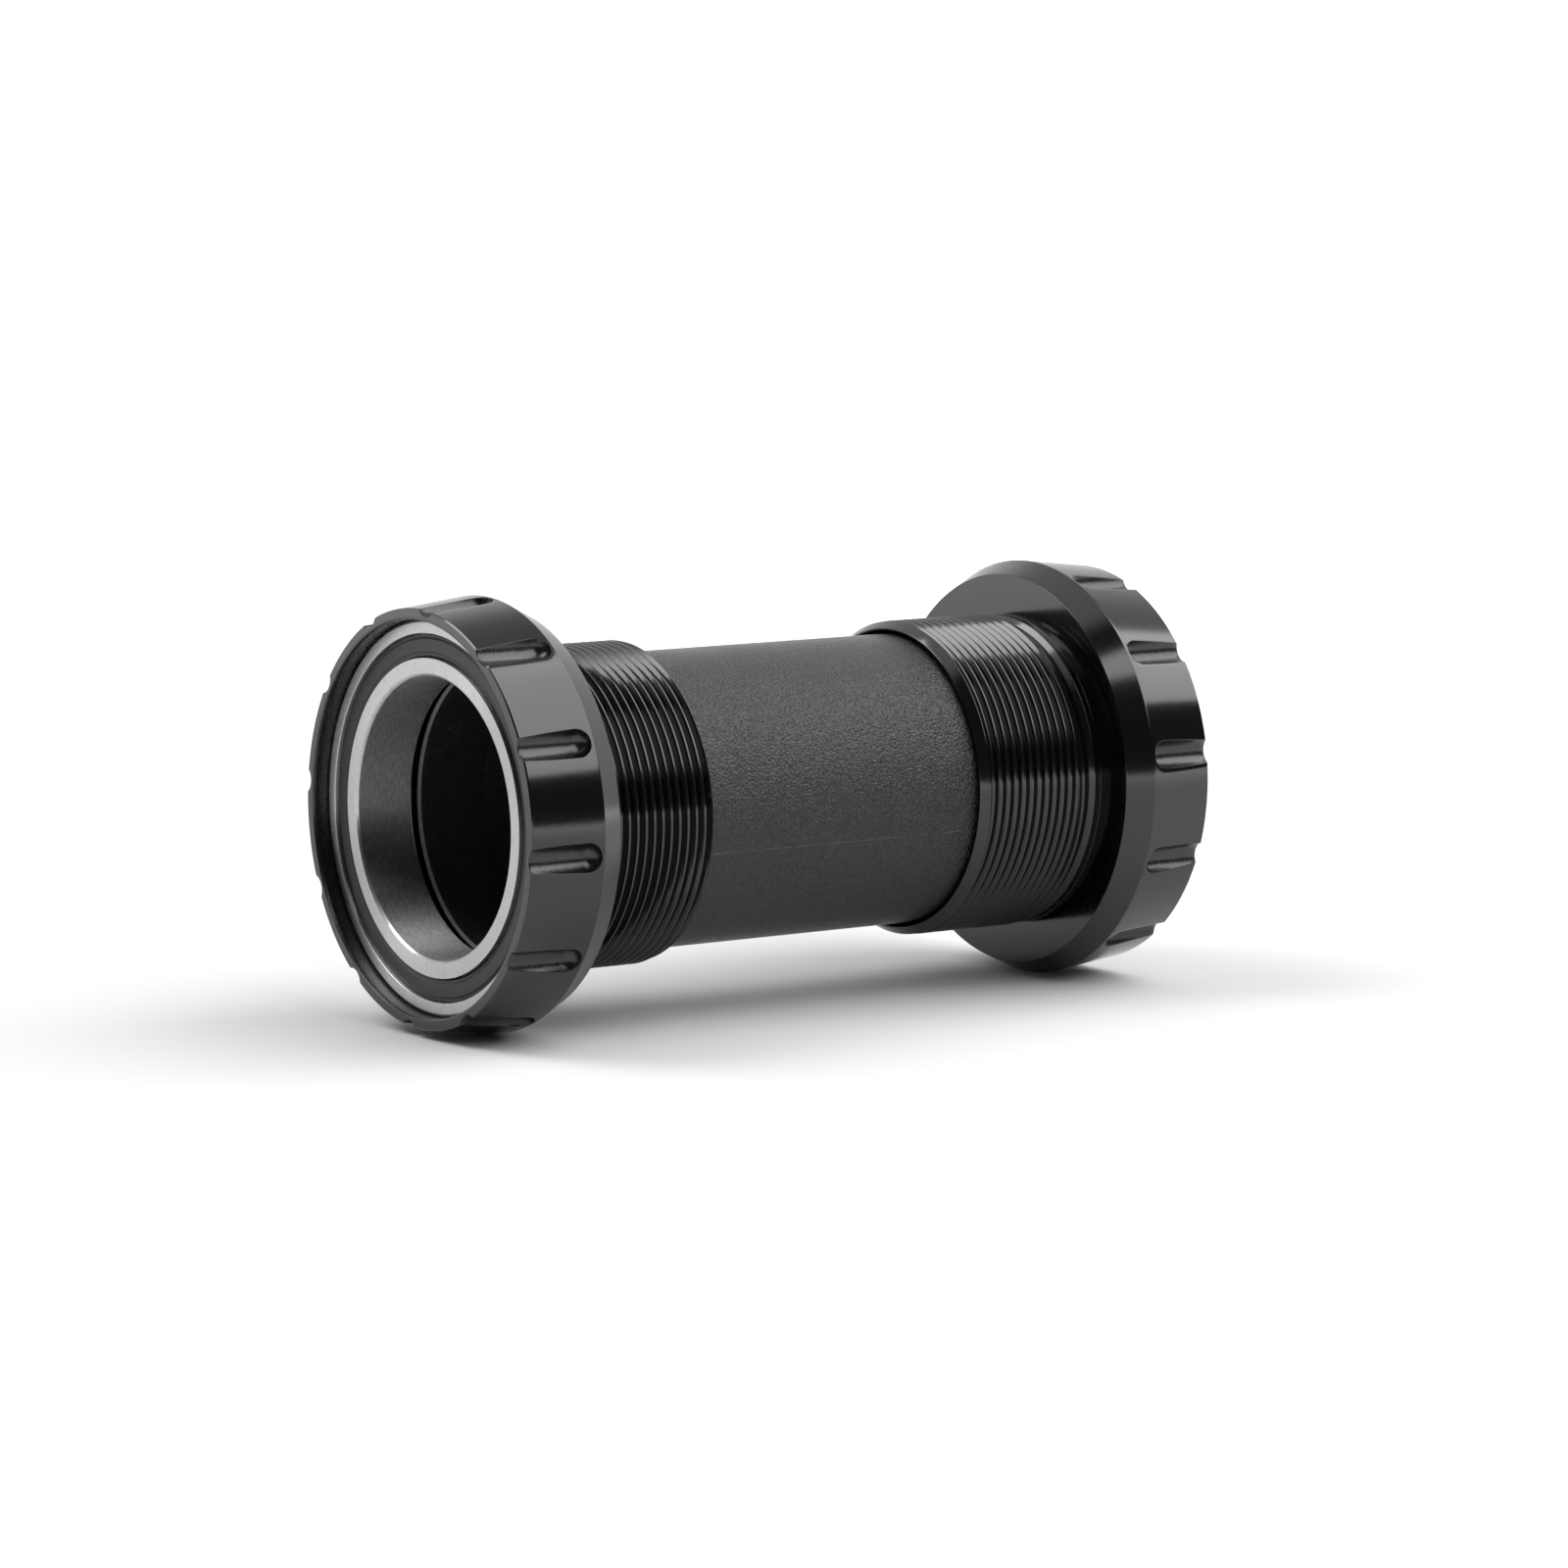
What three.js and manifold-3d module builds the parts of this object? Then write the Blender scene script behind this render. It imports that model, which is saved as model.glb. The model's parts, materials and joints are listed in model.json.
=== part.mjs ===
// Bicycle bottom bracket: two threaded outboard cups on a centre sleeve, each cup with
// a 30 x 42 x 7 mm ball bearing for a 30 mm crank spindle.
// Millimetres. The spindle axis is X, +Z is up, and the origin is on the axis midway
// between the cups. Each end is built once in its own frame, with +X pointing outward and
// its flange's inner face at x = 0, and is then turned to its side.

import * as THREE from 'three';
import { mergeVertices } from 'three/addons/utils/BufferGeometryUtils.js';
import Module from 'manifold-3d';

const wasm = await Module();
wasm.setup();

// Whole assembly
const facets = 28; // sides of every turned surface
const flangeGap = 66.4; // between the two flanges' inner faces, as the cups sit on the sleeve
const overrun = 1; // how far a cut runs past the faces that it opens

// Cup, radii first and then places along the axis from the flange's inner face
const cup = {
  flangeInnerRadius: 21.75,
  shoulderRadius: 23.17,
  rimRadius: 22.25,
  rimFaceRadius: 22.1,
  seatRadius: 21.02,
  pocketRadius: 19.0,
  skirtBoreRadius: 16.35,
  noseBoreRadius: 16.5,
  crestRadius: 17.4,
  rootRadius: 16.75,
  coreRadius: 16.7,
  bandRadius: 17.25,
  noseRadius: 17.35,
  noseTipRadius: 16.65,
  rimX: 11.15,
  rimChamfer: 0.15,
  shoulderX: 2.84,
  seatFloorX: 2.31,
  pocketFloorX: 1.3,
  bandWidth: 0.8,
  undercutWidth: 1.1,
  threadChamfer: 0.4,
  noseConeLength: 0.95,
};

// Thread, 24 turns to the inch
const threadPitch = 25.4 / 24;

// Flutes for the fitting tool, cut with a round-nosed cutter parallel to the axis
const flute = {
  count: 12,
  cutterRadius: 1.58,
  floorRadius: 21.6,
  innerEndX: 3.12,
  sides: 8,
  noseSteps: 2,
};

// What differs between the two ends. A hand of 1 is a right-hand thread.
const ends = [
  { side: 'left', turn: Math.PI, hand: 1, skirt: 14.9, nose: 0, crestAtTop: -3.77, fluteTurn: -5.1 },
  { side: 'right', turn: 0, hand: -1, skirt: 16.15, nose: 1.0, crestAtTop: -1.84, fluteTurn: -8.5 },
];

// Bearing, with its places along the axis measured inward from its outer face
const bearing = {
  outerFaceX: 9.33,
  width: 7,
  boreRadius: 15,
  innerLandRadius: 16.9,
  outerLandRadius: 19.1,
  sealRecessRadius: 19.5,
  sealRecessDepth: 0.9,
  outsideRadius: 21,
  chamfer: 0.3,
  pitchRadius: 18,
  ballRadius: 3.175 / 2,
  ballCount: 22,
  grooveRadius: 1.75,
  grooveSteps: 3,
};
const seal = {
  innerRadius: 17.05,
  outerRadius: 19.4,
  lipRadius: 17.5,
  inset: 0.25,
  lipInset: 0.4,
  thickness: 0.6,
};
const cage = {
  innerRadius: 17.3,
  outerRadius: 18.7,
  start: 2.7,
  end: 5.65,
  pocketRadius: 1.72,
  pocketSides: 8,
};

// Sleeve and its two rubber rings
const sleeve = {
  outerRadius: 16.1,
  innerRadius: 15.3,
  grooveRadius: 15.66,
  grooveWidth: 0.75,
  grooveFromEnd: 3,
  endChamfer: 0.2,
};
const ring = { innerRadius: 15.7, outerRadius: 16.22, sides: 6 };
const sleeveHalf = flangeGap / 2 + cup.pocketFloorX;

const anodised = { color: 0x16171a, roughness: 0.38, metalness: 0.6 };
const plastic = { color: 0x1d1d1f, roughness: 0.72, metalness: 0 };
const groundSteel = { color: 0xc6c8ca, roughness: 0.24, metalness: 0.95 };
const rubber = { color: 0x202124, roughness: 0.62, metalness: 0 };
const softRubber = { color: 0x111112, roughness: 0.55, metalness: 0 };
const cagePlastic = { color: 0x2a2522, roughness: 0.5, metalness: 0 };
const ceramic = { color: 0x26282b, roughness: 0.12, metalness: 0 };

// A flat facet lies inside its circle. This radius puts the facet's middle on it instead.
const clearOf = (radius) => radius / Math.cos(Math.PI / facets);

// Turns a list of [x, radius] points about the X axis. The list closes on itself.
function turned(points, sides = facets) {
  const profile = points.map(([x, radius]) => new THREE.Vector2(radius, x));
  profile.push(profile[0].clone());
  const geometry = new THREE.LatheGeometry(profile, sides, Math.PI / sides);
  return geometry.rotateZ(-Math.PI / 2);
}

// Joins a closed geometry's shared corners and makes its faces point outward.
function closedMesh(geometry) {
  geometry.deleteAttribute('normal');
  geometry.deleteAttribute('uv');
  const merged = mergeVertices(geometry, 1e-5);
  const position = merged.attributes.position;
  const corners = Array.from(merged.index.array);
  const kept = [];
  let volume = 0;
  const [a, b, c] = [new THREE.Vector3(), new THREE.Vector3(), new THREE.Vector3()];
  for (let i = 0; i < corners.length; i += 3) {
    const [p, q, r] = corners.slice(i, i + 3);
    if (p === q || q === r || r === p) continue;
    kept.push(p, q, r);
    a.fromBufferAttribute(position, p);
    b.fromBufferAttribute(position, q);
    c.fromBufferAttribute(position, r);
    volume += a.dot(b.cross(c));
  }
  if (volume < 0) kept.reverse();
  merged.setIndex(kept);
  return merged;
}

function toSolid(geometry) {
  const mesh = closedMesh(geometry);
  const vertProperties = new Float32Array(mesh.attributes.position.array);
  const triVerts = new Uint32Array(mesh.index.array);
  return new wasm.Manifold(new wasm.Mesh({ numProp: 3, vertProperties, triVerts }));
}

function toGeometry(solid) {
  const mesh = solid.getMesh();
  const geometry = new THREE.BufferGeometry();
  geometry.setAttribute('position', new THREE.BufferAttribute(mesh.vertProperties, 3));
  geometry.setIndex(new THREE.BufferAttribute(mesh.triVerts, 1));
  return geometry;
}

function part(name, geometry, look) {
  geometry.computeVertexNormals();
  const mesh = new THREE.Mesh(geometry, new THREE.MeshStandardMaterial(look));
  mesh.name = name;
  return mesh;
}

// A rod with a helical V thread. Its crest and its root each climb one pitch per turn, and
// each root meets the next turn's crest.
function threadedRod(fromX, toX, crestAtTop, hand) {
  const firstTurn = Math.floor((fromX - crestAtTop) / threadPitch) - 1;
  const lastTurn = Math.ceil((toX - crestAtTop) / threadPitch) + 1;
  const steps = (lastTurn - firstTurn) * facets;
  const vertices = [];
  for (let step = 0; step <= steps; step += 1) {
    const turns = firstTurn + (step + 0.5) / facets;
    const angle = 2 * Math.PI * turns * hand;
    const [across, up] = [-Math.sin(angle), Math.cos(angle)];
    const crestX = crestAtTop + turns * threadPitch;
    vertices.push(crestX, cup.crestRadius * across, cup.crestRadius * up);
    vertices.push(crestX + threadPitch / 2, cup.rootRadius * across, cup.rootRadius * up);
  }
  const crest = (step) => 2 * step;
  const root = (step) => 2 * step + 1;
  const triangles = [];
  const quad = (a, b, c, d) => triangles.push(a, b, c, a, c, d);
  for (let step = 0; step < steps; step += 1) {
    quad(crest(step), crest(step + 1), root(step + 1), root(step));
  }
  for (let step = 0; step < steps - facets; step += 1) {
    quad(root(step), root(step + 1), crest(step + 1 + facets), crest(step + facets));
  }
  // Each end's stepped edge is closed by a fan from a point on the axis
  const lowEdge = [];
  const highEdge = [];
  for (let step = 0; step <= facets; step += 1) {
    lowEdge.push(crest(step));
    highEdge.push(root(steps - step));
  }
  lowEdge.push(root(0));
  highEdge.push(crest(steps));
  const fan = (edge, tipX) => {
    const tip = vertices.length / 3;
    vertices.push(tipX, 0, 0);
    edge.forEach((corner, i) => triangles.push(tip, edge[(i + 1) % edge.length], corner));
  };
  fan(lowEdge, crestAtTop + (firstTurn - 1) * threadPitch);
  fan(highEdge, crestAtTop + (lastTurn + 1) * threadPitch);
  const geometry = new THREE.BufferGeometry();
  geometry.setAttribute('position', new THREE.BufferAttribute(new Float32Array(vertices), 3));
  geometry.setIndex(triangles);
  return toSolid(geometry);
}

// The cup's turned outside, solid to the axis, with its thread left off
function cupBlank(end) {
  const threadEnd = end.nose - end.skirt;
  const outside = [
    [cup.rimX, 0],
    [cup.rimX, clearOf(cup.rimFaceRadius)],
    [cup.rimX - cup.rimChamfer, clearOf(cup.rimRadius)],
    [cup.shoulderX, clearOf(cup.shoulderRadius)],
    [0, clearOf(cup.flangeInnerRadius)],
    [0, cup.bandRadius],
    [-cup.bandWidth, cup.bandRadius],
    [-cup.bandWidth - cup.bandRadius + cup.coreRadius, cup.coreRadius],
  ];
  if (end.nose > 0) {
    outside.push([threadEnd, cup.coreRadius], [threadEnd, cup.noseRadius]);
    outside.push([cup.noseConeLength - end.skirt, cup.noseRadius]);
    outside.push([-end.skirt, cup.noseTipRadius]);
  } else {
    outside.push([-end.skirt, cup.coreRadius]);
  }
  outside.push([-end.skirt, 0]);
  return toSolid(turned(outside));
}

// The thread's stretch of the skirt, chamfered at both ends
function cupThread(end) {
  const startX = -cup.bandWidth - cup.undercutWidth;
  const endX = end.nose - end.skirt;
  const slope = cup.crestRadius - cup.coreRadius;
  const stretch = turned([
    [startX, 0],
    [startX, cup.coreRadius],
    [startX - slope, clearOf(cup.crestRadius)],
    [endX + cup.threadChamfer, clearOf(cup.crestRadius)],
    [endX, cup.crestRadius - cup.threadChamfer],
    [endX, 0],
  ]);
  return threadedRod(endX, startX, end.crestAtTop, end.hand).intersect(toSolid(stretch));
}

// Everything that the bore takes away, from the nose to the bearing's seat and the rim
function cupBore(end) {
  return toSolid(turned([
    [-end.skirt - overrun, 0],
    [-end.skirt - overrun, cup.noseBoreRadius],
    [-end.skirt, cup.noseBoreRadius],
    [-end.skirt + cup.noseBoreRadius - cup.skirtBoreRadius, cup.skirtBoreRadius],
    [cup.pocketFloorX, cup.skirtBoreRadius],
    [cup.pocketFloorX, cup.pocketRadius],
    [cup.seatFloorX, cup.pocketRadius],
    [cup.seatFloorX, cup.seatRadius],
    [cup.rimX + overrun, cup.seatRadius],
    [cup.rimX + overrun, 0],
  ]));
}

function fluteCutter(turnDegrees) {
  const { cutterRadius, floorRadius, innerEndX, sides, noseSteps } = flute;
  const noseX = innerEndX + cutterRadius;
  const outline = [[cup.rimX + overrun, 0], [cup.rimX + overrun, cutterRadius]];
  for (let i = 0; i <= noseSteps; i += 1) {
    const angle = (Math.PI / 2) * (i / noseSteps);
    outline.push([noseX - cutterRadius * Math.sin(angle), cutterRadius * Math.cos(angle)]);
  }
  const cutter = turned(outline, sides).translate(0, 0, floorRadius + cutterRadius);
  return toSolid(cutter.rotateX(THREE.MathUtils.degToRad(turnDegrees)));
}

function cupSolid(end) {
  let solid = cupBlank(end).add(cupThread(end)).subtract(cupBore(end));
  for (let i = 0; i < flute.count; i += 1) {
    solid = solid.subtract(fluteCutter(end.fluteTurn + (360 * i) / flute.count));
  }
  return toGeometry(solid);
}

// A turned bearing piece, from [distance in from the outer face, radius] points
const bearingPiece = (points) => closedMesh(turned(points.map(([w, r]) => [bearing.outerFaceX - w, r])));

// The ball groove's arc, from one edge of a land to the other. A side of -1 cuts inward.
function grooveArc(landRadius, side) {
  const { pitchRadius, grooveRadius, width, grooveSteps } = bearing;
  const reach = Math.acos(Math.abs(landRadius - pitchRadius) / grooveRadius);
  const arc = [];
  for (let i = 0; i <= grooveSteps; i += 1) {
    const angle = reach * (1 - (2 * i) / grooveSteps);
    const place = width / 2 + grooveRadius * Math.sin(angle);
    arc.push([place, pitchRadius + side * grooveRadius * Math.cos(angle)]);
  }
  return arc;
}

function innerRing() {
  const { width, boreRadius, chamfer, innerLandRadius } = bearing;
  return bearingPiece([
    [0, clearOf(boreRadius + chamfer)],
    [chamfer, clearOf(boreRadius)],
    [width - chamfer, clearOf(boreRadius)],
    [width, clearOf(boreRadius + chamfer)],
    [width, innerLandRadius],
    ...grooveArc(innerLandRadius, -1),
    [0, innerLandRadius],
  ]);
}

function outerRing() {
  const { width, outsideRadius, chamfer, outerLandRadius, sealRecessRadius, sealRecessDepth } = bearing;
  return bearingPiece([
    [0, sealRecessRadius],
    [0, outsideRadius - chamfer],
    [chamfer, outsideRadius],
    [width - chamfer, outsideRadius],
    [width, outsideRadius - chamfer],
    [width, sealRecessRadius],
    [width - sealRecessDepth, sealRecessRadius],
    [width - sealRecessDepth, outerLandRadius],
    ...grooveArc(outerLandRadius, 1),
    [sealRecessDepth, outerLandRadius],
    [sealRecessDepth, sealRecessRadius],
  ]);
}

// A seal disc with a thinner lip at its inner edge. The inner side's seal is its mirror.
function sealDisc(onInnerSide) {
  const { innerRadius, outerRadius, lipRadius, inset, lipInset, thickness } = seal;
  const section = [
    [inset, outerRadius],
    [inset, lipRadius],
    [lipInset, lipRadius],
    [lipInset, innerRadius],
    [inset + thickness, innerRadius],
    [inset + thickness, outerRadius],
  ];
  return bearingPiece(section.map(([w, r]) => [onInnerSide ? bearing.width - w : w, r]));
}

const ballTurn = (index) => (2 * Math.PI * index) / bearing.ballCount;
const ballPlaneX = bearing.outerFaceX - bearing.width / 2;

// A crown cage: a ring with a pocket for each ball, open towards the outer face
function cageSolid() {
  let solid = toSolid(bearingPiece([
    [cage.start, cage.innerRadius],
    [cage.start, cage.outerRadius],
    [cage.end, cage.outerRadius],
    [cage.end, cage.innerRadius],
  ]));
  const { pocketRadius, pocketSides } = cage;
  const cutLength = cage.outerRadius - cage.innerRadius + 2 * overrun;
  for (let i = 0; i < bearing.ballCount; i += 1) {
    const pocket = new THREE.CylinderGeometry(pocketRadius, pocketRadius, cutLength, pocketSides);
    pocket.rotateX(Math.PI / 2).translate(ballPlaneX, 0, bearing.pitchRadius);
    solid = solid.subtract(toSolid(pocket.rotateX(ballTurn(i))));
  }
  return toGeometry(solid);
}

function ball(name, index) {
  const mesh = part(name, closedMesh(new THREE.IcosahedronGeometry(bearing.ballRadius, 1)), ceramic);
  const [turn, out] = [ballTurn(index), bearing.pitchRadius];
  mesh.position.set(ballPlaneX, -out * Math.sin(turn), out * Math.cos(turn));
  return mesh;
}

// One cup with its bearing
function endGroup(end) {
  const group = new THREE.Group();
  const add = (name, geometry, look) => group.add(part(`${end.side}_${name}`, geometry, look));
  add('cup', cupSolid(end), anodised);
  add('outer_ring', outerRing(), groundSteel);
  add('inner_ring', innerRing(), groundSteel);
  add('outer_seal', sealDisc(false), rubber);
  add('inner_seal', sealDisc(true), rubber);
  add('cage', cageSolid(), cagePlastic);
  for (let i = 0; i < bearing.ballCount; i += 1) {
    const number = String(i + 1).padStart(2, '0');
    group.add(ball(`${end.side}_ball_${number}`, i));
  }
  group.rotation.z = end.turn;
  group.position.x = (Math.cos(end.turn) * flangeGap) / 2;
  return group;
}

// The sleeve, with a groove near each end for its rubber ring
function sleeveTube() {
  const { outerRadius, innerRadius, grooveRadius, grooveWidth, grooveFromEnd, endChamfer } = sleeve;
  const half = [
    [sleeveHalf, innerRadius],
    [sleeveHalf, outerRadius - endChamfer],
    [sleeveHalf - endChamfer, outerRadius],
    [sleeveHalf - grooveFromEnd + grooveWidth / 2, outerRadius],
    [sleeveHalf - grooveFromEnd + grooveWidth / 2, grooveRadius],
    [sleeveHalf - grooveFromEnd - grooveWidth / 2, grooveRadius],
    [sleeveHalf - grooveFromEnd - grooveWidth / 2, outerRadius],
  ];
  const mirrored = half.map(([x, radius]) => [-x, radius]).reverse();
  return closedMesh(turned([...half, ...mirrored]));
}

function sleeveRing(side) {
  const { innerRadius, outerRadius, sides } = ring;
  const radius = (outerRadius - innerRadius) / 2;
  const section = [];
  for (let i = 0; i < sides; i += 1) {
    const angle = (2 * Math.PI * i) / sides;
    const place = side * (sleeveHalf - sleeve.grooveFromEnd) + radius * Math.sin(angle);
    section.push([place, innerRadius + radius + radius * Math.cos(angle)]);
  }
  return closedMesh(turned(section));
}

const bottomBracket = new THREE.Group();
for (const end of ends) bottomBracket.add(endGroup(end));
bottomBracket.add(part('centre_sleeve', sleeveTube(), plastic));
bottomBracket.add(part('left_o_ring', sleeveRing(-1), softRubber));
bottomBracket.add(part('right_o_ring', sleeveRing(1), softRubber));

export default bottomBracket;
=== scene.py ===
"""Looks for the bottom bracket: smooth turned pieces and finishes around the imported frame.

Sizes are in millimetres and angles in degrees. Each end is shaped in its own frame, with
+X pointing outward and the flange's inner face at x = 0, and is then turned to its side.
An angle about the spindle axis runs from the top (+Z) towards the end's own -Y. The
finishes, the camera, the floor and the lights are in metres, as the shared frame is.
"""

import json
import math

import bmesh
import bpy
import numpy as np
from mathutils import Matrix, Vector


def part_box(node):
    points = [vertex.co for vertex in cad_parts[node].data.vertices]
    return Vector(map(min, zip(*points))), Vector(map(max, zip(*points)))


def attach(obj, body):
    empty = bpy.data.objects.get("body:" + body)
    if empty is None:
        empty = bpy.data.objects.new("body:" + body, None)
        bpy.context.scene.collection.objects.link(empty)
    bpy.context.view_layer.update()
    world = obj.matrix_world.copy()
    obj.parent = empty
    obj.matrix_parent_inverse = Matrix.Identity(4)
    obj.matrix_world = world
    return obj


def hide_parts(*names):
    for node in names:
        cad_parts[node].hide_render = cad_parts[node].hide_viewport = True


METRES = 0.001  # one millimetre

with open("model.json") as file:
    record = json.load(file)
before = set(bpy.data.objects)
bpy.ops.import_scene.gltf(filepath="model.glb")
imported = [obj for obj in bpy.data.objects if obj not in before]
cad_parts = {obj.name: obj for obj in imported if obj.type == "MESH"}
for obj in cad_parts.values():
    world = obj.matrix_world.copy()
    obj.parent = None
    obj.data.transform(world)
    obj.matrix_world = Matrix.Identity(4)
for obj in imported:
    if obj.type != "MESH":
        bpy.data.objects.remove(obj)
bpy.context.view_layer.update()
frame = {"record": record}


# ---------------------------------------------------------------- the frame's own sizes


def far_corner(node):
    """A CAD node's highest corner, in millimetres."""
    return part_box(node)[1] / METRES


def mount_x(name):
    """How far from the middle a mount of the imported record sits, in millimetres."""
    mounts = {mount["name"]: mount for mount in frame["record"]["mounts"]}
    return abs(mounts[name]["pos_m"][0]) / METRES


FLANGE_X = mount_x("right_shell_face")
BEARING_X = mount_x("right_bearing_face") - FLANGE_X
CUP_CORNER = far_corner("right_cup")
SLEEVE_CORNER = far_corner("centre_sleeve")

COLUMNS = 240  # round a turned surface
TURN = 2 * math.pi
JOIN_DISTANCE = 2e-7  # points closer than this, in metres, are one point
SHARP_ANGLE = 32  # between faces that don't share their shading
CORNER_SHARE = 0.45  # the most that a corner's curve takes of either side
SEAT_GAP = 0.02  # between the bearing and the floor of its seat
INCH = 25.4
THREAD_PITCH = INCH / 24

# A softening is how far from a corner its curve starts. A row is how far from a corner an
# extra ring of points stands, which keeps the shading tight. A mask's spare, start, end or
# length says how far from an edge of the shape the edge of a finish's mask lies.

BEARING = {
    "width": 7.0,
    "bore_radius": 15.0,
    "inner_land_radius": 16.9,
    "outer_land_radius": 19.1,
    "seal_recess_radius": 19.5,
    "seal_recess_depth": 0.9,
    "outside_radius": 21.0,
    "corner": 0.3,
    "corner_row": 1.0,
    "inner_softening": 0.12,
    "outer_softening": 0.1,
    "pitch_radius": 18.0,
    "ball_radius": INCH / 8 / 2,
    "ball_count": 22,
    "ball_steps": 24,
    "groove_radius": 1.65,
    "groove_points": 17,
    "bore_mask_spare": 0.05,
}

# An inset is the distance in from the bearing's outer face
SEAL = {
    "rim_inset": 0.42,
    "rim_radius": 19.38,
    "rim_end_radius": 19.1,
    "raised_inset": 0.24,
    "raised_outer_radius": 18.9,
    "raised_inner_radius": 17.6,
    "lip_inset": 0.38,
    "lip_outer_radius": 17.45,
    "lip_inner_radius": 17.1,
    "tip_inset": 0.6,
    "tip_radius": 16.98,
    "back_inset": 0.85,
    "back_radius": 17.06,
    "softening": 0.07,
}

BALL_PLANE_X = BEARING_X - BEARING["width"] / 2

CAGE = {
    "inner_radius": 17.3,
    "outer_radius": 18.7,
    "front_inset": 2.7,
    "back_inset": 5.65,
    "corner": 0.05,
    "ball_gap": 0.08,
    "columns_per_ball": 24,
}

CUP = {
    "rim_x": CUP_CORNER.x - FLANGE_X,
    "shoulder_x": 2.84,
    "flange_inner_radius": 21.75,
    "shoulder_radius": CUP_CORNER.z,
    "rim_radius": 22.25,
    "rim_break": 0.14,
    "rim_row": 0.4,
    "seat_radius": 21.02,
    "seat_lead_in": 0.1,
    "seat_lead_in_length": 0.35,
    "seat_floor_x": BEARING_X - BEARING["width"] - SEAT_GAP,
    "pocket_radius": 19.0,
    "pocket_floor_x": 1.3,
    "pocket_floor_row": 0.5,
    "bore_radius": 16.35,
    "nose_bore_radius": 16.5,
    "crest_radius": 17.4,
    "root_radius": 16.75,
    "core_radius": 16.7,
    "band_radius": 17.25,
    "band_width": 0.8,
    "undercut_width": 1.1,
    "undercut_row": 0.44,
    "nose_radius": 17.35,
    "nose_tip_radius": 16.65,
    "nose_cone_length": 0.95,
    "thread_chamfer": 0.4,
    "outside_softening": 0.05,
    "bore_softening": 0.08,
}

FLUTE = {
    "count": 12,
    "cutter_radius": 1.58,
    "floor_radius": 21.6,
    "inner_end_x": 3.12,
    "edge_break": 0.07,
    "edge_curve": ((1, 0), (0.45, 0.12), (0.12, 0.45)),  # shares of the break, out and down
    "arc_steps": 12,
    "nose_steps": 12,
    "wall_steps": 8,
    "land_steps": COLUMNS // 12,
    "mask_start": 0.08,
    "mask_spare": 0.2,
    "mask_end": 0.1,
}

# Shares are of the pitch. A groove is left out if its middle is within fade_margin of the
# thread's start, and deepens over the next fade_share.
THREAD = {
    "crest_share": 0.07,
    "root_share": 0.43,
    "softening": 0.1,
    "fade_margin": 0.3,
    "fade_share": 0.25,
    "run_out_slope": 1.7,
    "spare_turns": 2,
    "rounding": 1e-9,
}

# Each end's way along X and its own sizes. A hand of 1 is a right-hand thread. A crest
# stands at crest_x on the top of the thread.
ENDS = {
    "left": {"way": -1, "hand": 1, "skirt": 14.9, "nose": 0, "crest_x": -3.77, "flute_turn": -5.1},
    "right": {"way": 1, "hand": -1, "skirt": 16.15, "nose": 1.0, "crest_x": -1.84, "flute_turn": -8.5},
}

SLEEVE = {
    "half_length": SLEEVE_CORNER.x,
    "outer_radius": SLEEVE_CORNER.z,
    "groove_from_end": 3.0,
    "groove_width": 0.75,
    "groove_depth": 0.44,
    "end_chamfer": 0.2,
    "lip_radius": 15.62,
    "lip_chamfer": 0.22,
    "end_bore_radius": 15.4,
    "end_bore_length": 8.3,
    "bore_step_length": 0.3,
    "bore_radius": 15.25,
    "softening": 0.08,
    "bore_mask_spare": 0.08,
    "lip_highlight_length": 0.3,
    "seam_angle": 104.7,
    "seam_half_width": 0.04,
    "ring_centre_radius": 15.96,
    "ring_half_width": 0.33,
    "ring_half_height": 0.26,
    "ring_steps": 16,
}


# ---------------------------------------------------------------- mesh tools


def placed(points, end=None):
    """Points from an end's own frame, in metres in the shared frame."""
    points = np.asarray(points, float).reshape(-1, 3)
    if end is not None:
        way = end["way"]
        points = points * (way, way, 1) + (way * FLANGE_X, 0, 0)
    return points * METRES


def ring(x, radius, angles):
    """Points round the axis at x."""
    radius = np.broadcast_to(radius, angles.shape)
    x = np.broadcast_to(x, angles.shape)
    return np.stack([x, -radius * np.sin(angles), radius * np.cos(angles)], axis=-1)


def grid_faces(rows, columns, first=0, close_rows=False, close_columns=True):
    """Four-sided faces between neighbouring points of a grid."""
    faces = []
    last_row = rows if close_rows else rows - 1
    last_column = columns if close_columns else columns - 1
    for i in range(last_row):
        below = first + i * columns
        above = first + (i + 1) % rows * columns
        for j in range(last_column):
            k = (j + 1) % columns
            faces.append((below + j, below + k, above + k, above + j))
    return faces


def make_piece(name, points, faces):
    """A closed smooth-shaded mesh. Points that coincide are joined first."""
    mesh = bpy.data.meshes.new(name)
    mesh.from_pydata([tuple(point) for point in points], [], faces)
    shape = bmesh.new()
    shape.from_mesh(mesh)
    bmesh.ops.remove_doubles(shape, verts=shape.verts, dist=JOIN_DISTANCE)
    bmesh.ops.recalc_face_normals(shape, faces=shape.faces)
    shape.to_mesh(mesh)
    shape.free()
    mesh.shade_smooth()
    mesh.set_sharp_from_angle(angle=math.radians(SHARP_ANGLE))
    piece = bpy.data.objects.new(name, mesh)
    bpy.context.scene.collection.objects.link(piece)
    weighted = piece.modifiers.new("even_shading", "WEIGHTED_NORMAL")
    weighted.keep_sharp = True
    weighted.weight = 100  # large faces count for most
    return piece


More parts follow.
